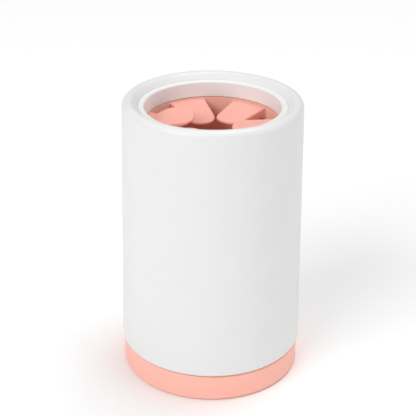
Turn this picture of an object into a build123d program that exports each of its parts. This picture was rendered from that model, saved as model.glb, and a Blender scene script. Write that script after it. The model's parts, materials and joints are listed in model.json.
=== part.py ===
"""Paw washer cup: a double-walled cup with three tiers of soft petals inside.

The origin is the centre of the underside, +Z is up and the cup's axis is Z.
All lengths are millimetres and all angles are degrees.
"""
from build123d import *
import math
import os

os.makedirs("parts", exist_ok=True)

# ---- Driving dimensions ------------------------------------------------------
# The cup as a whole. The mouth's size sets the radii: each layer lies around the
# one inside it, from the petal rings out to the sleeve.
overall_height = 155.4
ring_bore_radius = 35.5       # inside of the petal rings, the width of the mouth
rim_width = 8.25              # from the collar's seam to the outside of the sleeve
sleeve_draft = 1.05           # the sleeve widens downward, so that the mould opens
base_inset = 1.0              # the coloured base is a little smaller than the sleeve
base_height = 15.0            # visible height of the base, foot included
foot_stand_off = 0.6          # the anti-slip ring stands this far out of the base
seam_gap = 0.5                # shadow line between the sleeve and the base

# Sleeve.
sleeve_wall = 2.6
sleeve_roof = 3.4             # thickness of the rolled rim at its crest
sleeve_skirt_wall = 2.2
rim_slope = 44.0              # the rim falls inward at this angle, below its rounded crest
rim_drop = 3.15               # from the crest down to the rim's inner edge
sleeve_foot_round = 2.0
sleeve_skirt_round = 1.0      # inside the roof, beside the skirt
sleeve_roof_round = 2.0       # inside the roof, beside the outer wall

# Collar, the white ring at the mouth.
collar_wall = 2.2
collar_land = 1.0             # how far the collar's flange reaches over the liner's edge
collar_flange_thickness = 1.5
collar_drop = 3.3             # top of the collar below the crest
collar_bottom_drop = 12.0     # lower edge of the collar below the crest
collar_round = 0.7

# Liner, the inner wall that holds the water.
liner_wall = 2.2
liner_flange_thickness = 2.4
liner_shoulder_width = 1.7    # step that the lowest petal ring stands on
liner_corner_round = 1.0      # where the flanges meet the wall
liner_lead_in = 0.8           # chamfer that guides the base's plug
liner_key_width = 6.0
liner_key_height = 3.0
liner_key_count = 2

# Petal rings: soft tubes, each with one tier of petals.
tier_names = ["upper", "middle", "lower"]
tier_pitch = 30.0
ring_wall = 2.3
petals_per_tier = 6
upper_tier_azimuth = -6.0     # where the first petal of the upper tier points
ring_key_width = 6.0
ring_key_height = 2.5
ring_key_count = 2
root_pad_margin = 0.3         # the pad behind a root is larger than the root by this

# Petals: wedge tongues, thick at the root, thin at the tip.
petal_root_thickness = 5.5
petal_top_slope = 11.0
petal_root_half_width = 10.2
petal_tip_round = 7.5
petal_tip_radius = 10.4       # from the cup's axis to the end of each petal
petal_gap = 1.1               # between the tips of two neighbours
petal_root_cover = 0.95       # from a root's top to the upper edge of its ring
petal_lift = {                # petals that rest raised
    ("upper", 1): 8.0,
    ("upper", 2): 3.5,
    ("upper", 4): 21.0,
    ("upper", 5): 11.0,
}

# Base and its bayonet.
base_wall = 2.6
base_floor_thickness = 2.6
base_plug_wall = 2.3
base_plug_height = 12.4       # above the base's top face
base_top_round = 0.8
base_foot_round = 1.0
base_floor_round = 2.0        # corner between the water floor and the plug
base_rib_count = 6
base_rib_thickness = 1.8
base_rib_height = 6.0
bottom_cover_thickness = 2.2
foot_ring_inset = 4.0         # from the base's outside to the anti-slip ring
foot_ring_width = 5.0
foot_ring_thickness = 1.8
foot_ring_round = 0.4
hook_count = 3
hook_arc = 14.0
hook_stand_off = 2.6          # from the liner's wall to the hooks
hook_post_thickness = 2.0
hook_head_reach = 2.0
hook_head_thickness = 2.0
twist_angle = 35.0            # turn from locked to free

# Seals and the ring that holds the liner.
base_seal_section_radius = 0.85
base_seal_groove_depth = 1.5
base_seal_height = 8.2        # centre of the seal above the base's top face
rim_seal_thickness = 1.2
collar_seal_thickness = 1.2
retaining_ring_thickness = 1.4
retaining_ring_width = 1.6

# Clearances.
seal_clearance = 0.05         # a soft seal against the wall that it runs on
fit_clearance = 0.2           # hard pieces that lift or turn past each other
soft_clearance = 0.3          # soft pieces beside their neighbours
bore_clearance = 0.4          # the petal rings and the collar in the liner
flange_clearance = 0.7        # the liner's flanges in the sleeve
lay_clearance = 0.1           # pieces laid on each other in one assembly
angle_clearance = 0.6         # beside the bayonet hooks, in degrees
overlap = 0.5                 # how deep a feature is sunk into the body that it joins

# ---- Radii that follow, from the inside out ----------------------------------
ring_outer_radius = ring_bore_radius + ring_wall
liner_bore_radius = ring_outer_radius + bore_clearance
liner_outer_radius = liner_bore_radius + liner_wall
liner_lower_bore_radius = liner_bore_radius - liner_shoulder_width
liner_lower_outer_radius = liner_lower_bore_radius + liner_wall
collar_outer_radius = liner_bore_radius - bore_clearance
collar_bore_radius = collar_outer_radius - collar_wall
sleeve_lip_radius = liner_bore_radius + collar_land
sleeve_top_radius = sleeve_lip_radius + rim_width
plug_outer_radius = liner_lower_bore_radius - soft_clearance
plug_inner_radius = plug_outer_radius - base_plug_wall
seal_ring_radius = liner_lower_bore_radius - seal_clearance - base_seal_section_radius
hook_inner_radius = liner_lower_outer_radius + hook_stand_off
hook_post_radius = hook_inner_radius + hook_post_thickness
hook_head_radius = hook_post_radius + hook_head_reach

# ---- Levels that follow, from the floor and from the crest --------------------
base_top = base_height
sleeve_bottom = base_top + seam_gap
collar_top = overall_height - collar_drop
collar_bottom = overall_height - collar_bottom_drop
flange_bottom = collar_top - collar_flange_thickness
liner_top = flange_bottom - collar_seal_thickness - 2 * lay_clearance
skirt_bottom = liner_top + rim_seal_thickness
ring_height = tier_pitch - soft_clearance
upper_ring_top = collar_bottom - soft_clearance
liner_shoulder = upper_ring_top - len(tier_names) * tier_pitch
liner_bottom = sleeve_bottom + lay_clearance + retaining_ring_thickness + lay_clearance
flange_top = liner_bottom + liner_flange_thickness
seal_level = base_top + base_seal_height
hook_head_bottom = flange_top + fit_clearance
hook_top = hook_head_bottom + hook_head_thickness

draft = math.radians(sleeve_draft)
sleeve_foot_radius = sleeve_top_radius + (overall_height - sleeve_bottom) * math.tan(draft)
base_radius = sleeve_foot_radius - base_inset
foot_ring_radius = base_radius - foot_ring_inset - foot_ring_width / 2

# The rim is one round from the drafted wall over the crest into the inner slope.
slope = math.radians(rim_slope)
draft_share = 1 / math.cos(draft) - math.tan(draft)
rim_round = (rim_width * math.sin(slope) - rim_drop * math.cos(slope)) / (
    1 + draft_share * math.sin(slope) - math.cos(slope)
)
rim_centre_radius = sleeve_top_radius - rim_round * draft_share
rim_centre_height = overall_height - rim_round

# The petal's root is a half cylinder around its bending axis, and it faces a
# flat pad on the ring, because a straight axis can't follow the round bore.
petal_root_radius = petal_root_thickness / 2
petal_root_drop = petal_root_radius + petal_root_cover
root_pad_half_width = petal_root_half_width + root_pad_margin
root_pad_height = petal_root_thickness + 2 * root_pad_margin
root_pad_radius = math.sqrt(ring_bore_radius ** 2 - root_pad_half_width ** 2) + lay_clearance
petal_axis_radius = root_pad_radius - soft_clearance - petal_root_radius

# The rounded corner of a tip keeps half the gap to the line between two petals,
# and each side runs from the root straight into that corner.
half_sector = math.radians(180 / petals_per_tier)
petal_reach = petal_axis_radius - petal_tip_radius
petal_length = petal_root_radius + petal_reach
tip_corner_radius = petal_tip_radius + petal_tip_round
tip_corner_offset = (
    tip_corner_radius * math.sin(half_sector) - petal_tip_round - petal_gap / 2
) / math.cos(half_sector)
corner_run = petal_length - petal_tip_round
corner_rise = petal_root_half_width - tip_corner_offset
side_taper = math.atan2(corner_rise, corner_run) - math.asin(
    petal_tip_round / math.hypot(corner_run, corner_rise)
)
petal_tip_half_width = petal_root_half_width - petal_length * math.tan(side_taper)


def sleeve_inner_radius(height):
    """Inside radius of the drafted sleeve at a height above the floor."""
    share = (height - sleeve_bottom) / (overall_height - sleeve_bottom)
    outer = sleeve_foot_radius + share * (sleeve_top_radius - sleeve_foot_radius)
    return outer - sleeve_wall


def vertical_plane(azimuth):
    """Plane through the axis: its x points outward at the azimuth, its y up."""
    angle = math.radians(azimuth)
    outward = (math.cos(angle), math.sin(angle), 0)
    across = (math.sin(angle), -math.cos(angle), 0)
    return Plane(origin=(0, 0, 0), x_dir=outward, z_dir=across)


def key_azimuth(key, count):
    """Direction of a key that stops the petal rings from turning, between two petals."""
    return upper_tier_azimuth + 90 / petals_per_tier + 360 * key / count


def round_edge(piece, radius, height):
    """The circular edge of a turned piece at a radius and a height."""
    circles = piece.edges().filter_by(GeomType.CIRCLE)
    near = circles.filter_by(lambda edge: abs(edge.radius - radius) < 0.01)
    return near.sort_by(lambda edge: abs(edge.center(CenterOf.BOUNDING_BOX).Z - height))[0]


# ---- Base: the coloured bottom, with the water floor and the sealing plug ----
with BuildPart() as base_cap:
    with BuildSketch(Plane.XZ):
        with BuildLine():
            Polyline(
                (0, base_top - base_floor_thickness),
                (base_radius - base_wall, base_top - base_floor_thickness),
                (base_radius - base_wall, foot_stand_off),
                (base_radius, foot_stand_off),
                (base_radius, base_top),
                (plug_outer_radius, base_top),
                (plug_outer_radius, base_top + base_plug_height),
                (plug_inner_radius, base_top + base_plug_height),
                (plug_inner_radius, base_top),
                (0, base_top),
                close=True,
            )
        make_face()
    revolve(axis=Axis.Z)
    # The groove that holds the base seal, around the plug.
    groove_half_height = base_seal_section_radius + soft_clearance
    with BuildSketch(Plane.XZ):
        with Locations((plug_outer_radius, seal_level)):
            Rectangle(base_seal_groove_depth, 2 * groove_half_height, align=(Align.MAX, Align.CENTER))
    revolve(axis=Axis.Z, mode=Mode.SUBTRACT)
    # Rounded outer edges and a rounded corner around the water floor.
    fillet(round_edge(base_cap, base_radius, base_top), radius=base_top_round)
    fillet(round_edge(base_cap, base_radius, foot_stand_off), radius=base_foot_round)
    fillet(round_edge(base_cap, plug_inner_radius, base_top), radius=base_floor_round)
    # Stiffening ribs under the floor, joined to the skirt.
    rib_top = base_top - base_floor_thickness + overlap
    for rib in range(base_rib_count):
        azimuth = 360 * rib / base_rib_count
        with BuildSketch(vertical_plane(azimuth)):
            with Locations((0, rib_top)):
                Rectangle(
                    base_radius - base_wall + overlap,
                    base_rib_height,
                    align=(Align.MIN, Align.MAX),
                )
        extrude(amount=base_rib_thickness / 2, both=True)
    # Bayonet hooks: a post with a head that reaches outward.
    for hook in range(hook_count):
        azimuth = 360 * hook / hook_count - hook_arc / 2
        with BuildSketch(vertical_plane(azimuth)):
            with BuildLine():
                Polyline(
                    (hook_inner_radius, base_top - overlap),
                    (hook_post_radius, base_top - overlap),
                    (hook_post_radius, hook_head_bottom),
                    (hook_head_radius, hook_head_bottom),
                    (hook_head_radius, hook_top),
                    (hook_inner_radius, hook_top),
                    close=True,
                )
            make_face()
        revolve(axis=Axis.Z, revolution_arc=hook_arc)
base_cap.part.label = "base_cap"
export_step(base_cap.part, "parts/base_cap.step")

# ---- Bottom cover: closes the base from below and holds the anti-slip ring ---
cover_radius = base_radius - base_wall - fit_clearance
with BuildPart() as bottom_cover:
    with BuildSketch(Plane.XY.offset(foot_stand_off)):
        Circle(cover_radius)
    extrude(amount=bottom_cover_thickness)
    with BuildSketch(Plane.XY.offset(foot_stand_off)):
        Circle(foot_ring_radius + foot_ring_width / 2 + lay_clearance)
        Circle(foot_ring_radius - foot_ring_width / 2 - lay_clearance, mode=Mode.SUBTRACT)
    extrude(amount=foot_ring_thickness + lay_clearance - foot_stand_off, mode=Mode.SUBTRACT)
bottom_cover.part.label = "bottom_cover"
export_step(bottom_cover.part, "parts/bottom_cover.step")

# ---- Foot ring: soft anti-slip ring that the cup stands on --------------------
with BuildPart() as foot_ring:
    with BuildSketch(Plane.XZ):
        with Locations((foot_ring_radius, 0)):
            Rectangle(foot_ring_width, foot_ring_thickness, align=(Align.CENTER, Align.MIN))
    revolve(axis=Axis.Z)
    fillet(foot_ring.faces().sort_by(Axis.Z)[0].edges(), radius=foot_ring_round)
foot_ring.part.label = "foot_ring"
export_step(foot_ring.part, "parts/foot_ring.step")

# ---- Base seal: round ring in the plug's groove --------------------------------
with BuildPart() as base_seal:
    with BuildSketch(Plane.XZ):
        with Locations((seal_ring_radius, seal_level)):
            Circle(base_seal_section_radius)
    revolve(axis=Axis.Z)
base_seal.part.label = "base_seal"
export_step(base_seal.part, "parts/base_seal.step")

# ---- Outer sleeve: white drafted shell with a rim that rolls inward ------------
lip_outer_radius = sleeve_lip_radius + sleeve_skirt_wall
roof_level = overall_height - sleeve_roof
rim_start = (
    rim_centre_radius + rim_round * math.cos(draft),
    rim_centre_height + rim_round * math.sin(draft),
)
rim_end = (
    rim_centre_radius - rim_round * math.sin(slope),
    rim_centre_height + rim_round * math.cos(slope),
)
with BuildPart() as outer_sleeve:
    with BuildSketch(Plane.XZ):
        with BuildLine():
            ThreePointArc(rim_start, (rim_centre_radius, overall_height), rim_end)
            Polyline(
                rim_end,
                (sleeve_lip_radius, overall_height - rim_drop),
                (sleeve_lip_radius, skirt_bottom),
                (lip_outer_radius, skirt_bottom),
                (lip_outer_radius, roof_level),
                (sleeve_inner_radius(roof_level), roof_level),
                (sleeve_inner_radius(sleeve_bottom), sleeve_bottom),
                (sleeve_foot_radius, sleeve_bottom),
                rim_start,
            )
        make_face()
    revolve(axis=Axis.Z)
    fillet(round_edge(outer_sleeve, sleeve_foot_radius, sleeve_bottom), radius=sleeve_foot_round)
    fillet(round_edge(outer_sleeve, lip_outer_radius, roof_level), radius=sleeve_skirt_round)
    roof_corner = round_edge(outer_sleeve, sleeve_inner_radius(roof_level), roof_level)
    fillet(roof_corner, radius=sleeve_roof_round)
outer_sleeve.part.label = "outer_sleeve"
export_step(outer_sleeve.part, "parts/outer_sleeve.step")

# ---- Retaining ring: snaps into the sleeve's lower end, under the liner ------
ring_outer = sleeve_inner_radius(liner_bottom) - lay_clearance
with BuildPart() as retaining_ring:
    with BuildSketch(Plane.XY.offset(sleeve_bottom + lay_clearance)):
        Circle(ring_outer)
        Circle(ring_outer - retaining_ring_width, mode=Mode.SUBTRACT)
    extrude(amount=retaining_ring_thickness)
retaining_ring.part.label = "retaining_ring"
export_step(retaining_ring.part, "parts/retaining_ring.step")

# ---- Inner liner: the coloured inner wall, flanged at both ends ---------------
outer_step_top = liner_shoulder - liner_wall
liner_flange_radius = sleeve_inner_radius(liner_bottom) - flange_clearance
liner_top_flange_radius = sleeve_inner_radius(liner_top) - flange_clearance
with BuildPart() as inner_liner:
    with BuildSketch(Plane.XZ):
        with BuildLine():
            Polyline(
                (liner_bore_radius, liner_top),
                (liner_top_flange_radius, liner_top),
                (liner_top_flange_radius, liner_top - liner_flange_thickness),
                (liner_outer_radius, liner_top - liner_flange_thickness),
                (liner_outer_radius, outer_step_top),
                (liner_lower_outer_radius, outer_step_top - liner_shoulder_width),
                (liner_lower_outer_radius, flange_top),
                (liner_flange_radius, flange_top),
                (liner_flange_radius, liner_bottom),
                (liner_lower_bore_radius, liner_bottom),
                (liner_lower_bore_radius, liner_shoulder),
                (liner_bore_radius, liner_shoulder),
                close=True,
            )
        make_face()
    revolve(axis=Axis.Z)
    top_corner = round_edge(inner_liner, liner_outer_radius, liner_top - liner_flange_thickness)
    fillet(top_corner, radius=liner_corner_round)
    low_corner = round_edge(inner_liner, liner_lower_outer_radius, flange_top)
    fillet(low_corner, radius=liner_corner_round)
    plug_entry = round_edge(inner_liner, liner_lower_bore_radius, liner_bottom)
    chamfer(plug_entry, length=liner_lead_in)
    # Keys on the shoulder stop the stack of petal rings from turning.
    for key in range(liner_key_count):
        azimuth = key_azimuth(key, liner_key_count)
        with BuildSketch(Plane.XY.offset(liner_shoulder - overlap).rotated((0, 0, azimuth))):
            with Locations((liner_lower_bore_radius, 0)):
                Rectangle(
                    liner_shoulder_width + overlap,
                    liner_key_width,
                    align=(Align.MIN, Align.CENTER),
                )
        extrude(amount=liner_key_height + overlap)
    # Bayonet slots: a narrow run for the posts and a wide gate for the heads.
    post_half_arc = hook_arc / 2 + angle_clearance
    for hook in range(hook_count):
        azimuth = 360 * hook / hook_count
        slots = (
            (hook_post_radius, azimuth - twist_angle - post_half_arc, twist_angle + 2 * post_half_arc),
            (hook_head_radius, azimuth - twist_angle - post_half_arc, 2 * post_half_arc),
        )
        for slot_radius, start, arc in slots:
            with BuildSketch(vertical_plane(start)):
                with Locations((hook_inner_radius - soft_clearance, liner_bottom)):
                    Rectangle(
                        slot_radius - hook_inner_radius + 2 * soft_clearance,
                        liner_flange_thickness,
                        align=(Align.MIN, Align.MIN),
                    )
            revolve(axis=Axis.Z, revolution_arc=arc, mode=Mode.SUBTRACT)
inner_liner.part.label = "inner_liner"
export_step(inner_liner.part, "parts/inner_liner.step")

# ---- Rim seal: between the liner's top flange and the sleeve's skirt ------------
with BuildPart() as rim_seal:
    with BuildSketch(Plane.XY.offset(liner_top + lay_clearance)):
        Circle(lip_outer_radius)
        Circle(sleeve_lip_radius, mode=Mode.SUBTRACT)
    extrude(amount=rim_seal_thickness - 2 * lay_clearance)
rim_seal.part.label = "rim_seal"
export_step(rim_seal.part, "parts/rim_seal.step")

# ---- Collar ring: the white ring at the mouth, which holds the petals down -----
flange_radius = sleeve_lip_radius - fit_clearance
with BuildPart() as collar_ring:
    with BuildSketch(Plane.XZ):
        with BuildLine():
            Polyline(
                (collar_bore_radius, collar_bottom),
                (collar_outer_radius, collar_bottom),
                (collar_outer_radius, flange_bottom),
                (flange_radius, flange_bottom),
                (flange_radius, collar_top),
                (collar_bore_radius, collar_top),
                close=True,
            )
        make_face()
    revolve(axis=Axis.Z)
    fillet(round_edge(collar_ring, collar_bore_radius, collar_top), radius=collar_round)
    fillet(round_edge(collar_ring, flange_radius, collar_top), radius=collar_round / 2)
    fillet(round_edge(collar_ring, collar_bore_radius, collar_bottom), radius=collar_round / 2)
collar_ring.part.label = "collar_ring"
export_step(collar_ring.part, "parts/collar_ring.step")

# ---- Collar seal: soft ring under the collar's flange ----------------------------
with BuildPart() as collar_seal:
    with BuildSketch(Plane.XY.offset(flange_bottom - lay_clearance - collar_seal_thickness)):
        Circle(flange_radius)
        Circle(collar_outer_radius + lay_clearance, mode=Mode.SUBTRACT)
    extrude(amount=collar_seal_thickness)
collar_seal.part.label = "collar_seal"
export_step(collar_seal.part, "parts/collar_seal.step")


# ---- Petal rings and petals -------------------------------------------------------
def tier_top(tier):
    """Height of the top edge of a tier's ring; tier 0 is the upper one."""
    return upper_ring_top - tier * tier_pitch


def tier_azimuth(tier, petal):
    """Direction from the axis to a petal's root."""
    return upper_tier_azimuth + 180 / petals_per_tier * (tier % 2) + 360 * petal / petals_per_tier


for tier, tier_name in enumerate(tier_names):
    top = tier_top(tier)
    bottom = top - ring_height
    axis_height = top - petal_root_drop
    key_below = liner_key_height if tier == len(tier_names) - 1 else ring_key_height
    with BuildPart() as petal_ring:
        with BuildSketch(Plane.XY.offset(bottom)):
            Circle(ring_outer_radius)
            Circle(ring_bore_radius, mode=Mode.SUBTRACT)
        extrude(amount=ring_height)
        # Flat pads inside, one behind the root of each petal.
        for petal in range(petals_per_tier):
            plane = Plane.XY.offset(axis_height - root_pad_height / 2)
            with BuildSketch(plane.rotated((0, 0, tier_azimuth(tier, petal)))):
                with Locations((root_pad_radius, 0)):
                    Rectangle(
                        ring_bore_radius + overlap - root_pad_radius,
                        2 * root_pad_half_width,
                        align=(Align.MIN, Align.CENTER),
                    )
            extrude(amount=root_pad_height)
        # Notches below and tongues above keep the tiers staggered.
        for key in range(ring_key_count):
            azimuth = key_azimuth(key, ring_key_count)
            notch_height = key_below + soft_clearance
            with BuildSketch(Plane.XY.offset(bottom).rotated((0, 0, azimuth))):
                with Locations((ring_bore_radius - overlap, 0)):
                    Rectangle(
                        ring_wall + 2 * overlap,
                        ring_key_width + 2 * soft_clearance,
                        align=(Align.MIN, Align.CENTER),
                    )
            extrude(amount=notch_height, mode=Mode.SUBTRACT)
            if tier > 0:
                with BuildSketch(Plane.XY.offset(top - overlap).rotated((0, 0, azimuth))):
                    with Locations((ring_bore_radius + ring_wall / 2, 0)):
                        Rectangle(ring_wall / 2, ring_key_width)
                extrude(amount=ring_key_height + overlap)
    petal_ring.part.label = f"{tier_name}_petal_ring"
    export_step(petal_ring.part, f"parts/{petal_ring.part.label}.step")

    for petal in range(petals_per_tier):
        azimuth = math.radians(tier_azimuth(tier, petal))
        lift = math.radians(petal_lift.get((tier_name, petal + 1), 0.0))
        outward = Vector(math.cos(azimuth), math.sin(azimuth), 0)
        across = Vector(math.sin(azimuth), -math.cos(azimuth), 0)
        along = outward * math.cos(lift) - Vector(0, 0, 1) * math.sin(lift)
        root = outward * petal_axis_radius + Vector(0, 0, axis_height)
        side_plane = Plane(origin=root, x_dir=along, z_dir=across)
        plan_plane = Plane(origin=root, x_dir=along, z_dir=across.cross(along))
        fall = math.radians(petal_top_slope)
        top_tangent = (-petal_root_radius * math.sin(fall), petal_root_radius * math.cos(fall))
        tip_top = top_tangent[1] - (petal_reach + top_tangent[0]) * math.tan(fall)
        with BuildPart() as petal_tongue:
            # Side view: round root, sloping top, level underside.
            with BuildSketch(side_plane):
                with BuildLine():
                    ThreePointArc((0, -petal_root_radius), (petal_root_radius, 0), top_tangent)
                    Line(top_tangent, (-petal_reach, tip_top))
                    Line((-petal_reach, tip_top), (-petal_reach, -petal_root_radius))
                    Line((-petal_reach, -petal_root_radius), (0, -petal_root_radius))
                make_face()
            extrude(amount=petal_root_half_width, both=True)
            # Plan view: sides that close in towards a broad rounded tip.
            with BuildSketch(plan_plane, mode=Mode.PRIVATE) as outline:
                with BuildLine():
                    Polyline(
                        (petal_root_radius, petal_root_half_width),
                        (-petal_reach, petal_tip_half_width),
                        (-petal_reach, -petal_tip_half_width),
                        (petal_root_radius, -petal_root_half_width),
                        close=True,
                    )
                make_face()
                fillet(outline.vertices().sort_by(Axis.X)[:2], radius=petal_tip_round)
            extrude(outline.sketch, amount=petal_root_thickness, both=True, mode=Mode.INTERSECT)
        petal_tongue.part.label = f"{tier_name}_petal_{petal + 1}"
        export_step(petal_tongue.part, f"parts/{petal_tongue.part.label}.step")
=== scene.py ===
# %% [markdown]
# # Paw washer cup
# A hand-held cup that washes a dog's paw. A white double-walled sleeve stands on a coral base,
# and inside it three tiers of soft silicone petals brush the paw as the cup is turned.
# The engineering model already says where every piece is and what it moves with, so this lesson
# only gives the pieces their looks. The first step loads that model. It is done before
# anything else, because every size below is read from it rather than typed in again.

# %% Load the engineering model
import json
import math

import bmesh
import bpy
from mathutils import Matrix, Vector


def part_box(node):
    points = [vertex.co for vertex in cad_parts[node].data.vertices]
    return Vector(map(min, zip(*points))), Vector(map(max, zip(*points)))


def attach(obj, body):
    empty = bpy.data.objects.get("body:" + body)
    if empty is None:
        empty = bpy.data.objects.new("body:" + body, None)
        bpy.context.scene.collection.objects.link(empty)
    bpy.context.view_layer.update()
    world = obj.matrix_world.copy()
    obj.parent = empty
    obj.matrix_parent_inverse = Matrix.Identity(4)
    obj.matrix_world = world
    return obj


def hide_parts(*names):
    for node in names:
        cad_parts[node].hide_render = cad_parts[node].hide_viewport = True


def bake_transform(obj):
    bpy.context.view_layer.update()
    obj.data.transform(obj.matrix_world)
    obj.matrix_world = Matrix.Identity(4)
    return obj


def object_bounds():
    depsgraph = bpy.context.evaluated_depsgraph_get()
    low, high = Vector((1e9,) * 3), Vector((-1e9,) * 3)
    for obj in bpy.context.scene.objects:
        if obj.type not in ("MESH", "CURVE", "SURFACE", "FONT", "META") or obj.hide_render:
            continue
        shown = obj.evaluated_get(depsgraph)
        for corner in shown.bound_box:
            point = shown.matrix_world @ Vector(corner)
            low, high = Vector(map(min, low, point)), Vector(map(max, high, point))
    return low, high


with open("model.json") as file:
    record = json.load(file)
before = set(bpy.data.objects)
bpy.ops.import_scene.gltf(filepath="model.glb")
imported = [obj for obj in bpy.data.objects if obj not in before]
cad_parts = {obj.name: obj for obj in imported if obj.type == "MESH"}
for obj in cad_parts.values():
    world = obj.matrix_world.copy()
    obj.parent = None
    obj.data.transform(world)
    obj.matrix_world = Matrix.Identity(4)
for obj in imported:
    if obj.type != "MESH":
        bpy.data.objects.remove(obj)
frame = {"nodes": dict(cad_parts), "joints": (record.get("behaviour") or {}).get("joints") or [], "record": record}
cad_low, cad_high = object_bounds()
MM = 0.001
print("cup, mm:", [round(side / MM, 1) for side in cad_high - cad_low])

# %% [markdown]
# ## Colours
# Paint and plastic colours are usually written as hex codes, which are display values. A
# renderer adds light, so it needs linear values. One function does the conversion, and every
# colour in the scene goes through it, so that no colour is converted twice or not at all.


# %% Hex colour to linear light
def colour(code):
    """A hex display colour as linear red, green, blue and an alpha of 1."""
    shares = [int(code[i : i + 2], 16) / 255 for i in (0, 2, 4)]
    linear = [s / 12.92 if s <= 0.04045 else ((s + 0.055) / 1.055) ** 2.4 for s in shares]
    return (*linear, 1.0)


print("mid grey in linear light:", round(colour("808080")[0], 3))

# %% [markdown]
# ## Building materials from nodes
# A material is a small network: texture nodes feed a shader. Clicking a network together by
# hand is quick to do once and slow to repeat, so one helper adds a node, sets its inputs and
# links it. An input that is given another node's output becomes a link, and anything else is a
# constant. That is all the help that is needed, whatever the kind of node.


# %% One helper that adds a node
def add_node(material, kind, settings=(), **inputs):
    """Adds a node. settings are its properties; inputs are constants or outputs of other nodes."""
    node = material.node_tree.nodes.new(kind)
    for name, value in dict(settings).items():
        setattr(node, name, value)
    for name, value in inputs.items():
        socket = node.inputs[name.replace("_", " ")]
        if isinstance(value, bpy.types.NodeSocket):
            material.node_tree.links.new(value, socket)
        else:
            socket.default_value = value
    return node


def new_material(name):
    """An empty node material and its output node."""
    material = bpy.data.materials.new(name)
    material.use_nodes = True
    material.node_tree.nodes.clear()
    return material


# %% [markdown]
# ## Moulded plastic
# The sleeve, the collar and the base are ABS, injection moulded against a mould that was
# spark-eroded to a fine satin grain. To the eye that gives a soft, broad highlight with no
# sharp reflections, a grain that shows only close up, and very slow waves where the wall
# shrank a little as it cooled. The grain could be real geometry, but a bump map costs nothing
# and is right at any distance. The real grain is about 0.1 mm and would never show, so it is
# drawn at 0.35 mm, which is as coarse as it needs to be. The collar is painted a brighter and a
# touch cooler white than the sleeve. This is painted light: it cancels the pink light that the
# petals below bounce onto its wall.


# %% Satin ABS
GRAIN = 0.35 * MM
SHRINK_WAVE = 14 * MM
ABS_IOR = 1.54


def moulded_abs(name, light, dark, roughness, subsurface):
    """Spark-eroded satin ABS: two close shades of one colour, a fine grain and slow waves."""
    material = new_material(name)
    place = add_node(material, "ShaderNodeTexCoord").outputs["Object"]
    grain = add_node(material, "ShaderNodeTexNoise", Vector=place, Scale=1 / GRAIN, Detail=3.0)
    wave = add_node(material, "ShaderNodeTexNoise", Vector=place, Scale=1 / SHRINK_WAVE, Detail=1.0)
    tint = add_node(material, "ShaderNodeMix", {"data_type": "RGBA"}, Factor=wave.outputs["Fac"])
    tint.inputs[6].default_value = colour(light)
    tint.inputs[7].default_value = colour(dark)
    gloss = add_node(
        material,
        "ShaderNodeMapRange",
        Value=grain.outputs["Fac"],
        To_Min=roughness - 0.06,
        To_Max=roughness + 0.06,
    )
    fine = add_node(
        material,
        "ShaderNodeBump",
        Strength=0.25,
        Distance=0.02 * MM,
        Height=grain.outputs["Fac"],
    )
    slow = add_node(
        material,
        "ShaderNodeBump",
        Strength=0.3,
        Distance=0.05 * MM,
        Height=wave.outputs["Fac"],
        Normal=fine.outputs["Normal"],
    )
    shader = add_node(
        material,
        "ShaderNodeBsdfPrincipled",
        {"subsurface_method": "RANDOM_WALK"},
        Base_Color=tint.outputs[2],
        Roughness=gloss.outputs["Result"],
        IOR=ABS_IOR,
        Subsurface_Weight=subsurface,
        Subsurface_Radius=(1.0, 0.8, 0.7),
        Subsurface_Scale=0.6 * MM,
        Normal=slow.outputs["Normal"],
    )
    add_node(material, "ShaderNodeOutputMaterial", Surface=shader.outputs["BSDF"])
    return material


white_abs = moulded_abs("white satin moulded ABS", "E5E5E5", "E2E2E2", 0.42, 0.05)
coral_abs = moulded_abs("coral satin moulded ABS", "FEBBAB", "FDB8A8", 0.45, 0.12)
# The collar's brighter white is painted light, offsetting the coral light the petals bounce onto its wall.
collar_abs_painted_brighter = moulded_abs("bright white satin moulded ABS", "EEEFEF", "EBECEC", 0.4, 0.05)
print("plastics:", white_abs.name, collar_abs_painted_brighter.name, coral_abs.name, sep=", ")

# %% [markdown]
# ## Moulded silicone
# The petals and their rings are silicone rubber, compression moulded against a blasted steel
# tool. Light goes into silicone and comes out a few millimetres away, mostly red here, so thin
# edges glow and the shadows between the petals turn a warm, deep red. The surface is dull and
# slightly velvety. Subsurface scattering is used for the glow rather than a brighter colour,
# because only scattering follows the thickness of the piece. The rings are the same silicone,
# but they are painted a lighter tint than the petals and get less scattering. The lighter tint
# is painted light, which keeps the shaded wall behind the petals from going too dark.

# %% Matte silicone
SILICONE_IOR = 1.41
BLAST_GRAIN = 0.5 * MM
SILICONE_CLOUD = 9 * MM


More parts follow.
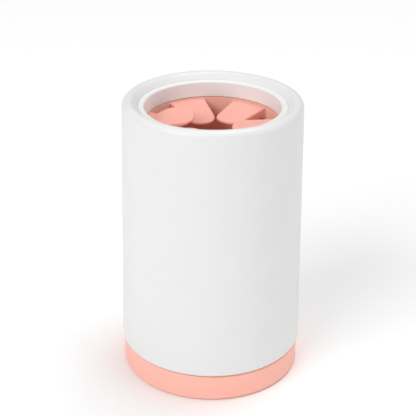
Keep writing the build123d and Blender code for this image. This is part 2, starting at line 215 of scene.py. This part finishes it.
def moulded_silicone(name, light, dark, roughness, subsurface, depth, velvet):
    """Compression-moulded silicone: dull, slightly cloudy, and light goes a little way in."""
    material = new_material(name)
    place = add_node(material, "ShaderNodeTexCoord").outputs["Object"]
    noise = "ShaderNodeTexNoise"
    grain = add_node(material, noise, Vector=place, Scale=1 / BLAST_GRAIN, Detail=4.0)
    cloud = add_node(material, noise, Vector=place, Scale=1 / SILICONE_CLOUD, Detail=2.0)
    tint = add_node(material, "ShaderNodeMix", {"data_type": "RGBA"}, Factor=cloud.outputs["Fac"])
    tint.inputs[6].default_value = colour(light)
    tint.inputs[7].default_value = colour(dark)
    gloss = add_node(
        material,
        "ShaderNodeMapRange",
        Value=grain.outputs["Fac"],
        To_Min=roughness - 0.07,
        To_Max=roughness + 0.07,
    )
    relief = add_node(
        material,
        "ShaderNodeBump",
        Strength=0.3,
        Distance=0.03 * MM,
        Height=grain.outputs["Fac"],
    )
    shader = add_node(
        material,
        "ShaderNodeBsdfPrincipled",
        {"subsurface_method": "RANDOM_WALK"},
        Base_Color=tint.outputs[2],
        Roughness=gloss.outputs["Result"],
        IOR=SILICONE_IOR,
        Subsurface_Weight=subsurface,
        Subsurface_Radius=(1.0, 0.35, 0.25),
        Subsurface_Scale=depth,
        Sheen_Weight=velvet,
        Sheen_Roughness=0.5,
        Normal=relief.outputs["Normal"],
    )
    add_node(material, "ShaderNodeOutputMaterial", Surface=shader.outputs["BSDF"])
    return material


coral_silicone = moulded_silicone(
    "coral matte silicone", "F3B0A2", "F1AA9B", 0.6, 0.5, 3.0 * MM, 0.1
)
# The rings' lighter tint is painted light that brightens the shaded wall behind the petals.
ring_silicone_painted_lighter = moulded_silicone(
    "coral ring silicone painted lighter against shade", "FFC3B4", "FFBDAD", 0.62, 0.35, 2.0 * MM, 0.15
)
seal_silicone = moulded_silicone(
    "milky seal silicone", "E3E3E0", "DADAD6", 0.5, 0.5, 1.5 * MM, 0.0
)
foot_silicone = moulded_silicone(
    "pale grey foot silicone", "CFCFCC", "C6C6C3", 0.65, 0.2, 1.0 * MM, 0.1
)
print("silicones:", coral_silicone.name, seal_silicone.name, foot_silicone.name, sep=", ")

# %% [markdown]
# ## Finishes for the pieces that are kept
# Most hidden pieces already have their true shape in the engineering model: the liner with
# its flanges and bayonet slots, the base with its ribs and hooks, and the seals. They only
# lack a finish. Each one gets the material that its record names, in its own slot. The petal
# rings are the exception: they get the silicone painted lighter to lift the shade on the wall
# behind the petals.

# %% Give the engineering pieces their finishes
FINISHES = {
    "white_abs": white_abs,
    "coral_abs": coral_abs,
    "coral_silicone": coral_silicone,
    "seal_silicone": seal_silicone,
    "foot_silicone": foot_silicone,
}
slot_of = {entry["node"]: entry["material_slot"] for entry in frame["record"]["subparts"]}
for name, node in frame["nodes"].items():
    node.data.materials.clear()
    # Petal rings take the lighter-painted silicone, which is painted light for the shaded wall behind the petals.
    tube = name.endswith("_petal_ring")
    node.data.materials.append(ring_silicone_painted_lighter if tube else FINISHES[slot_of[name]])
print("finished", len(frame["nodes"]), "engineering pieces")

# %% [markdown]
# ## Turned shapes
# The sleeve, the collar and the foot ring are round, so each is a half section turned around
# the axis. The section is a list of corners with a radius at each, the way a draughtsman gives
# it, and a helper replaces each corner by its arc. Turning is done in mesh code and not with a
# Screw modifier, because the result is then a plain closed mesh with even quads.


# %% Round the corners of a section
def rounded_section(corners, step=math.radians(9)):
    """Points along a closed section. corners are (radius, height, rounding) in metres."""
    points = []
    for index, (r, z, rounding) in enumerate(corners):
        here = Vector((r, z))
        before = Vector(corners[index - 1][:2]) - here
        after = Vector(corners[(index + 1) % len(corners)][:2]) - here
        turn = math.pi - before.angle(after)
        if rounding <= 0 or turn < 1e-4:
            points.append(here)
            continue
        run = rounding * math.tan(turn / 2)
        centre_way = (before.normalized() + after.normalized()).normalized()
        centre = here + centre_way * (rounding / math.cos(turn / 2))
        start = here + before.normalized() * run - centre
        count = max(2, round(turn / step))
        sense = 1 if start.y * before.x - start.x * before.y > 0 else -1
        for part in range(count + 1):
            angle = sense * turn * part / count
            points.append(centre + Matrix.Rotation(angle, 2) @ start)
    return points


# %% Turn a section into a mesh
TURN_STEPS = 240


def turned(name, corners, material, steps=TURN_STEPS):
    """A closed solid of revolution around the Z axis."""
    section = rounded_section(corners)
    mesh = bmesh.new()
    columns = []
    for number in range(steps):
        angle = 2 * math.pi * number / steps
        way = Vector((math.cos(angle), math.sin(angle), 0))
        columns.append([mesh.verts.new(way * p.x + Vector((0, 0, p.y))) for p in section])
    for column, following in zip(columns, columns[1:] + columns[:1]):
        for low in range(len(section)):
            high = (low + 1) % len(section)
            mesh.faces.new((column[low], following[low], following[high], column[high]))
    return finished_piece(name, mesh, material)


def finished_piece(name, mesh, material):
    """Makes the object: outward faces, smooth shading and a material."""
    bmesh.ops.recalc_face_normals(mesh, faces=mesh.faces)
    data = bpy.data.meshes.new(name)
    mesh.to_mesh(data)
    mesh.free()
    data.shade_smooth()
    data.set_sharp_from_angle(angle=math.radians(40))
    data.materials.append(material)
    piece = bpy.data.objects.new(name, data)
    bpy.context.scene.collection.objects.link(piece)
    return piece


# %% [markdown]
# ## The sleeve
# The sleeve is one moulding. It widens downward by a degree, so that the mould can open, and
# its rim rolls over in one arc, slopes down into the mouth and ends in a short skirt that
# bears on the liner. The roll is what the hand and the paw touch, and it carries the main
# highlight. It could be cut as a bevel, but an arc that runs from the wall to the slope without
# a break is what the real one has, so the corner is drawn where the two lines would meet, high
# above the rim, and then rounded.

# %% Turn the sleeve
sleeve_low, sleeve_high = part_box("outer_sleeve")
collar_low, collar_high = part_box("collar_ring")
liner_low, liner_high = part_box("inner_liner")
rim_seal_low, rim_seal_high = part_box("rim_seal")

SLEEVE_WALL = 2.6 * MM
SLEEVE_ROOF = 3.4 * MM
RIM_WIDTH = 8.25 * MM
RIM_SLOPE = math.radians(44)
RIM_DROP = 3.15 * MM
FOOT_ROUND = 2.0 * MM
FIT_GAP = 0.2 * MM
DRAFT = math.radians(1.05)
crest = sleeve_high.z
lip_radius = collar_high.x + FIT_GAP
skirt_radius = rim_seal_high.x
top_radius = lip_radius + RIM_WIDTH
foot_radius = top_radius + (crest - sleeve_low.z) * math.tan(DRAFT)
roof_inner_radius = top_radius + SLEEVE_ROOF * math.tan(DRAFT) - SLEEVE_WALL
lean = 1 / math.cos(DRAFT) - math.tan(DRAFT)
rim_round = (RIM_WIDTH * math.sin(RIM_SLOPE) - RIM_DROP * math.cos(RIM_SLOPE)) / (
    1 + lean * math.sin(RIM_SLOPE) - math.cos(RIM_SLOPE)
)
rise = (RIM_WIDTH - RIM_DROP / math.tan(RIM_SLOPE)) / (1 / math.tan(RIM_SLOPE) + math.tan(DRAFT))
rim_corner = (top_radius - rise * math.tan(DRAFT), crest + rise)

sleeve_shell = turned(
    "sleeve_shell",
    [
        (foot_radius, sleeve_low.z, FOOT_ROUND),
        (*rim_corner, rim_round),
        (lip_radius, crest - RIM_DROP, 0.15 * MM),
        (lip_radius, rim_seal_high.z + 0.1 * MM, 0.3 * MM),
        (skirt_radius, rim_seal_high.z + 0.1 * MM, 0.3 * MM),
        (skirt_radius, crest - SLEEVE_ROOF, 1.0 * MM),
        (roof_inner_radius, crest - SLEEVE_ROOF, 2.0 * MM),
        (foot_radius - SLEEVE_WALL, sleeve_low.z, 0.4 * MM),
    ],
    white_abs,
)
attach(sleeve_shell, "cup")
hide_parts("outer_sleeve")
print("sleeve: top radius", round(top_radius / MM, 2), "foot radius", round(foot_radius / MM, 2))

# %% [markdown]
# ## The collar
# A separate white ring drops into the mouth and holds the petals down. Only its rounded top
# edge and its short inner wall show, with a hair line between it and the sleeve's rim. The gap
# is drawn finer than the engineering model's, because a wider one reads as a black line. The
# wall leans outward a little towards the top, which guides the paw and lets the mould open.

# %% Turn the collar
flange_low = collar_high.z - 1.5 * MM
bore_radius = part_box("upper_petal_ring")[1].x - 2.2 * MM
SEAM_GAP = 0.07 * MM
collar_rim = lip_radius - SEAM_GAP
collar_trim = turned(
    "collar_trim",
    [
        (bore_radius, collar_low.z, 0.35 * MM),
        (bore_radius + 2.2 * MM, collar_low.z, 0.3 * MM),
        (bore_radius + 2.2 * MM, flange_low, 0.0),
        (collar_rim, flange_low, 0.2 * MM),
        (collar_rim, collar_high.z, 0.3 * MM),
        (bore_radius + 0.25 * MM, collar_high.z, 1.1 * MM),
    ],
    collar_abs_painted_brighter,
)
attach(collar_trim, "collar")
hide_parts("collar_ring")
print("collar: bore radius", round(bore_radius / MM, 2))

# %% [markdown]
# ## The foot ring
# The cup stands on a soft ring in the base. Real rings of this kind have fine round ribs
# that bite on a wet surface, so the section is a comb of small half rounds along its lower
# face. The ribs are real geometry, because their shadow lines show when the cup is lifted.

# %% Turn the foot ring with its ribs
foot_low, foot_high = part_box("foot_ring")
FOOT_RING_WIDTH = 5.0 * MM
RIB_COUNT = 5
RIB_DEPTH = 0.35 * MM
outer = foot_high.x
inner = outer - FOOT_RING_WIDTH
pitch = FOOT_RING_WIDTH / RIB_COUNT
comb = [(outer, foot_high.z, 0.1 * MM), (inner, foot_high.z, 0.1 * MM)]
for rib in range(RIB_COUNT):
    near = inner + rib * pitch
    comb += [
        (near, foot_low.z + RIB_DEPTH, 0.0),
        (near + 0.22 * pitch, foot_low.z, 0.12 * MM),
        (near + 0.78 * pitch, foot_low.z, 0.12 * MM),
    ]
comb.append((outer, foot_low.z + RIB_DEPTH, 0.0))
foot_tread = turned("foot_tread", comb, foot_silicone, steps=180)
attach(foot_tread, "base")
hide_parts("foot_ring")
print("foot ring:", RIB_COUNT, "ribs at", round(pitch / MM, 2), "mm")

# %% [markdown]
# ## The petals
# Each petal is a wedge-shaped tongue, thick at the root and thin at its broad round tip. It
# is moulded in one with its ring, so its root swells smoothly into the wall, and its edges are
# soft. A box with bevels would show a straight root and even edges. Instead the outline is
# drawn point by point and filled with rings that close in on the petal's middle line, and
# every point's height is worked out from how far along it lies and how near the edge it is.
#
# The plan first: straight sides that close in, then a rounded corner on each side of the tip.

# %% The petal's plan
ROOT_THICKNESS = 5.5 * MM
TIP_ROUND = 7.5 * MM
TIP_RADIUS = 10.4 * MM
ROOT_HALF_WIDTH = 10.2 * MM
PETAL_GAP = 1.1 * MM
TOP_SLOPE = math.radians(11)
ROOT_FLARE = 1.7 * MM
EDGE_ROUND = 0.95 * MM

petal_joints = [j for j in frame["joints"] if j["name"].endswith("_flex")]
axis_radius = Vector(petal_joints[0]["pos_m"]).xy.length
half_sector = math.pi / 6
ring_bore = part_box("upper_petal_ring")[1].x - 2.3 * MM
reach = axis_radius - TIP_RADIUS
root_radius = ROOT_THICKNESS / 2
corner_u = reach - TIP_ROUND
corner_v = (
    (TIP_RADIUS + TIP_ROUND) * math.sin(half_sector) - TIP_ROUND - PETAL_GAP / 2
) / math.cos(half_sector)
side_run = corner_u + root_radius
side_rise = ROOT_HALF_WIDTH - corner_v
taper = math.atan2(side_rise, side_run) - math.asin(TIP_ROUND / math.hypot(side_run, side_rise))
print("petal: reach", round(reach / MM, 2), "mm, taper", round(math.degrees(taper), 2), "degrees")

# %% [markdown]
# Positions on a petal are given as u, the way inward from its bending axis, and v, the way
# across. The wall of the ring is a circle, so where the root meets it depends on v. Near the
# wall the sides and the underside flare out in a quarter round, as moulded rubber does.


# %% Half width, wall and flare
def wall_u(v):
    """u of the ring's wall at v; it is negative, because the wall lies behind the axis."""
    return axis_radius - math.sqrt(ring_bore**2 - v**2)


def flare(u, v):
    """How far the root swells at this distance from the wall."""
    distance = max(0.0, u - wall_u(v))
    if distance >= ROOT_FLARE:
        return 0.0
    return ROOT_FLARE - math.sqrt(ROOT_FLARE**2 - (ROOT_FLARE - distance) ** 2)


def side_v(u):
    """Half width of the plan at u, up to the rounded corner."""
    width = ROOT_HALF_WIDTH - (u + root_radius) * math.tan(taper)
    return width + flare(u, width)


# %% [markdown]
# The outline runs from the wall along one side, round the tip and back. Only the side and
# tip are rounded edges. The last stretch lies inside the ring's wall, where the two pieces
# of silicone are one, so it stays square.

# %% The outline and the distance to its free edge
SIDE_STEPS = 26
CORNER_STEPS = 14
TIP_STEPS = 5
ROOT_STEPS = 16
SINK = 0.25 * MM
tangent_turn = math.pi / 2 - taper


def half_outline():
    """Points of one side, from the wall to the middle of the tip."""
    tangent_u = corner_u + TIP_ROUND * math.cos(tangent_turn)
    root_u = wall_u(ROOT_HALF_WIDTH + ROOT_FLARE * 0.9) - SINK
    points = []
    for step in range(SIDE_STEPS):
        share = (step / SIDE_STEPS) ** 1.7
        u = root_u + (tangent_u - root_u) * share
        points.append((u, side_v(u)))
    for step in range(CORNER_STEPS + 1):
        angle = tangent_turn * (1 - step / CORNER_STEPS)
        across, along = math.sin(angle), math.cos(angle)
        points.append((corner_u + TIP_ROUND * along, corner_v + TIP_ROUND * across))
    for step in range(1, TIP_STEPS):
        points.append((reach, corner_v * (1 - step / TIP_STEPS)))
    return points


def edge_distance(u, v):
    """Distance from (u, v) to the free edge of the petal, 0 on it."""
    v = abs(v)
    to_side = (side_v(u) - v) * math.cos(taper)
    to_tip = reach - u
    du, dv = u - corner_u, v - corner_v
    if dv > 0 and du * math.cos(taper) - dv * math.sin(taper) > 0:
        return max(0.0, TIP_ROUND - math.hypot(du, dv))
    return max(0.0, min(to_side, to_tip))


side = half_outline()
outline = side + [(reach, 0.0)] + [(u, -v) for u, v in reversed(side)]
root_end = side[0][1]
for step in range(1, ROOT_STEPS):
    v = -root_end * (1 - 2 * step / ROOT_STEPS)
    outline.append((wall_u(v) - SINK, v))
print("petal outline:", len(outline), "points")

# %% [markdown]
# Heights: the top falls towards the tip in a straight line and is very slightly crowned
# across. The underside is level. Near the root the underside drops and the top levels out,
# just below the ring's upper edge. The rounding at the edge is a quarter circle in section.

# %% Heights over the plan
CROWN = 0.22 * MM
ROOT_TOP_LIMIT = 3.45 * MM
ROOT_DROP = 0.55 * MM


def smooth_share(x):
    """0 below 0, 1 above 1, and an S curve between."""
    x = min(1.0, max(0.0, x))
    return x * x * (3 - 2 * x)


def half_round_drop(distance, rounding):
    """How far a rounded edge has fallen at this distance from the free edge."""
    if distance >= rounding:
        return 0.0
    return rounding - math.sqrt(rounding**2 - (rounding - distance) ** 2)


def heights(u, v):
    """Top and underside at (u, v), relative to the bending axis."""
    line = root_radius / math.cos(TOP_SLOPE) - u * math.tan(TOP_SLOPE)
    soft = 0.35 * MM
    gap = max(0.0, 1 - abs(line - ROOT_TOP_LIMIT) / soft)
    top = min(line, ROOT_TOP_LIMIT) - gap * gap * soft / 4
    width = max(side_v(min(u, corner_u)), 1e-6)
    crown = CROWN * (1 - min(1.0, (v / width) ** 2)) * smooth_share((u + root_radius) / root_radius)
    bottom = -root_radius - ROOT_DROP * smooth_share((1.0 * MM - u) / (4.0 * MM)) - flare(u, v)
    rounding = min(EDGE_ROUND, 0.47 * (top - bottom))
    drop = half_round_drop(edge_distance(u, v), rounding)
    return top + crown - CROWN - drop, bottom + drop


tip_top, tip_bottom = heights(reach - 2 * MM, 0)
print("tip thickness, mm:", round((tip_top - tip_bottom) / MM, 2))

# %% [markdown]
# The rings start at the outline and close in on the middle line. They are close together
# near the edge, where the rounding needs them, and wide apart in the flat middle.

# %% The petal's mesh
RING_SHARES = [0, 0.004, 0.016, 0.035, 0.06, 0.09, 0.125, 0.2, 0.32, 0.48, 0.66, 0.84]
SPINE_ROOT = 3.0 * MM
SPINE_TIP = 7.5 * MM


def spine_point(u):
    """Point of the middle line that an outline point closes in on."""
    return min(max(u, wall_u(0) + SPINE_ROOT), reach - SPINE_TIP)


def petal_mesh():
    """A petal around the origin, as a bmesh: x is u, y is v and z is up from the axis."""
    mesh = bmesh.new()
    rings = []
    for top_side in (True, False):
        shares = RING_SHARES if top_side else RING_SHARES[::-1]
        spine = [(spine_point(u), 0.0) for u, v in outline]
        for share in shares:
            ring = []
            for (u, v), (su, sv) in zip(outline, spine):
                x, y = u + (su - u) * share, v + (sv - v) * share
                z = heights(x, y)[0 if top_side else 1]
                ring.append(mesh.verts.new((x, y, z)))
            rings.append(ring)
    count = len(outline)
    halfway = len(RING_SHARES)
    order = rings[:halfway][::-1] + rings[halfway:][::-1]
    for first, second in zip(order, order[1:]):
        for index in range(count):
            following = (index + 1) % count
            mesh.faces.new((first[index], first[following], second[following], second[index]))
    close_ring(mesh, order[0])
    close_ring(mesh, order[-1])
    return mesh


def close_ring(mesh, ring):
    """Fills the innermost ring with a strip of quads across the middle line."""
    half = len(side)
    left = ring[: half + 1]
    right = [ring[2 * half - index] for index in range(half)] + [ring[half]]
    for index in range(half - 1):
        mesh.faces.new((left[index], left[index + 1], right[index + 1], right[index]))
    mesh.faces.new((left[half - 1], left[half], right[half - 1]))
    mesh.faces.new([ring[0], *ring[:2 * half - 1 : -1]])


test = petal_mesh()
print("petal mesh:", len(test.verts), "points,", len(test.faces), "faces")
test.free()

# %% [markdown]
# Some petals of the upper tier rest a little higher than the others, as soft rubber does
# after use. The root stays on the wall and the tongue turns up about its bending axis, with a
# smooth change in between. Two of them are also twisted about their length, and one is arched
# and a little stretched, which the engineering model's straight petals are not. The same smooth
# change is what a petal does when a paw pushes it.

# %% Bend, place and name each petal
BEND_START = -3.8 * MM
BEND_END = 3.2 * MM
LIFTS = {"upper_petal_1": 8.0, "upper_petal_2": 3.5, "upper_petal_4": 21.0, "upper_petal_5": 9.0}
TWISTS = {"upper_petal_4": 9.0, "upper_petal_5": 5.0}
ARCHES = {"upper_petal_4": 1.2 * MM}
STRETCHES = {"upper_petal_4": 0.08}


def place_petal(node, joint):
    """Builds one petal at its joint's place, replacing the simple solid."""
    hinge = Vector(joint["pos_m"])
    outward = Vector((hinge.x, hinge.y, 0)).normalized()
    inward = -outward
    across = Vector((0, 0, 1)).cross(inward)
    lift = math.radians(LIFTS.get(node, 0.0))
    mesh = petal_mesh()
    for vertex in mesh.verts:
        u, v, z = vertex.co
        share = smooth_share((u - BEND_START) / (BEND_END - BEND_START))
        far = min(1.0, max(0.0, u / reach))
        z += ARCHES.get(node, 0.0) * math.sin(math.pi * far)
        z += v * math.tan(math.radians(TWISTS.get(node, 0.0))) * smooth_share(2.2 * far)
        u *= 1 + STRETCHES.get(node, 0.0) * far
        turn = lift * share
        along = u * math.cos(turn) - z * math.sin(turn)
        height = z * math.cos(turn) + u * math.sin(turn)
        vertex.co = hinge + inward * along + across * v + Vector((0, 0, height))
    piece = finished_piece(node + "_soft", mesh, coral_silicone)
    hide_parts(node)
    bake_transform(piece)
    return piece


petals = {}
for joint in petal_joints:
    node = joint["child"]
    petals[node] = place_petal(node, joint)
print("petals:", len(petals))

# %% [markdown]
# ## The studio
# The cup stands on a plain white floor under soft light. A white world fills every shadow. A
# large soft box in front on the left gives the sleeve its slow fall of shade to the right, one
# above and behind keeps the floor and the inner slope of the rim bright, and a weak one on the
# right lifts the shaded edge. Soft boxes are area lights, and their size, not their power, is
# what makes the shade soft.

# %% Floor
FLOOR_SIDE = 6.0
FLOOR_GRAIN = 2 * MM
floor_mesh = bmesh.new()
bmesh.ops.create_grid(floor_mesh, x_segments=4, y_segments=4, size=FLOOR_SIDE / 2)
floor_paint = new_material("white matte floor board")
floor_place = add_node(floor_paint, "ShaderNodeTexCoord").outputs["Object"]
floor_grain = add_node(
    floor_paint, "ShaderNodeTexNoise", Vector=floor_place, Scale=1 / FLOOR_GRAIN, Detail=2.0
)
floor_relief = add_node(
    floor_paint,
    "ShaderNodeBump",
    Strength=0.1,
    Distance=0.02 * MM,
    Height=floor_grain.outputs["Fac"],
)
floor_shader = add_node(
    floor_paint,
    "ShaderNodeBsdfPrincipled",
    Base_Color=colour("FDFDFD"),
    Roughness=0.9,
    Normal=floor_relief.outputs["Normal"],
)
floor_shader.inputs["Specular IOR Level"].default_value = 0.1
add_node(floor_paint, "ShaderNodeOutputMaterial", Surface=floor_shader.outputs["BSDF"])
floor = finished_piece("studio_floor", floor_mesh, floor_paint)
print("floor side:", FLOOR_SIDE, "m")

# %% Soft boxes and the white world
WORLD_STRENGTH = 0.42
LIGHT_DISTANCE = 4.0
world = bpy.data.worlds.new("white studio")
world.use_nodes = True
background = world.node_tree.nodes["Background"]
background.inputs["Color"].default_value = colour("FFFFFF")
background.inputs["Strength"].default_value = WORLD_STRENGTH
bpy.context.scene.world = world
middle = (cad_low + cad_high) / 2


def soft_box(name, azimuth, elevation, side, power):
    """An area light that looks at the cup's middle; azimuth 0 is in front, positive to the right."""
    data = bpy.data.lights.new(name, "AREA")
    data.shape = "SQUARE"
    data.size = side
    data.energy = power
    light = bpy.data.objects.new(name, data)
    way = Vector(
        (
            math.sin(azimuth) * math.cos(elevation),
            -math.cos(azimuth) * math.cos(elevation),
            math.sin(elevation),
        )
    )
    light.location = middle + way * LIGHT_DISTANCE
    light.rotation_euler = way.to_track_quat("Z", "Y").to_euler()
    bpy.context.scene.collection.objects.link(light)
    return light


soft_box("key_soft_box", math.radians(-44), math.radians(36), 2.6, 84.0)
soft_box("top_soft_box", math.radians(135), math.radians(74), 2.0, 60.0)
soft_box("fill_soft_box", math.radians(62), math.radians(20), 2.6, 27.0)
bpy.context.scene.view_settings.view_transform = "Standard"

# %% [markdown]
# ## The camera
# A long lens from about 60 cm away, a little above the mouth, looking down at it: close
# enough to see the petals, far enough for the cup's sides to stay nearly parallel.

# %% Camera
CAMERA_PLACE = Vector((-2.1, -539.0, 355.9)) * MM
CAMERA_PITCH = math.radians(26.08)
CAMERA_ROLL = math.radians(0.49)
camera_data = bpy.data.cameras.new("product_camera")
camera_data.sensor_width = 36.0
camera_data.lens = 95.4
camera = bpy.data.objects.new("product_camera", camera_data)
camera.matrix_world = (
    Matrix.Translation(CAMERA_PLACE)
    @ Matrix.Rotation(math.pi / 2 - CAMERA_PITCH, 4, "X")
    @ Matrix.Rotation(CAMERA_ROLL, 4, "Z")
)
bpy.context.scene.collection.objects.link(camera)
bpy.context.scene.camera = camera
print("camera pitch:", round(math.degrees(CAMERA_PITCH), 1), "degrees")
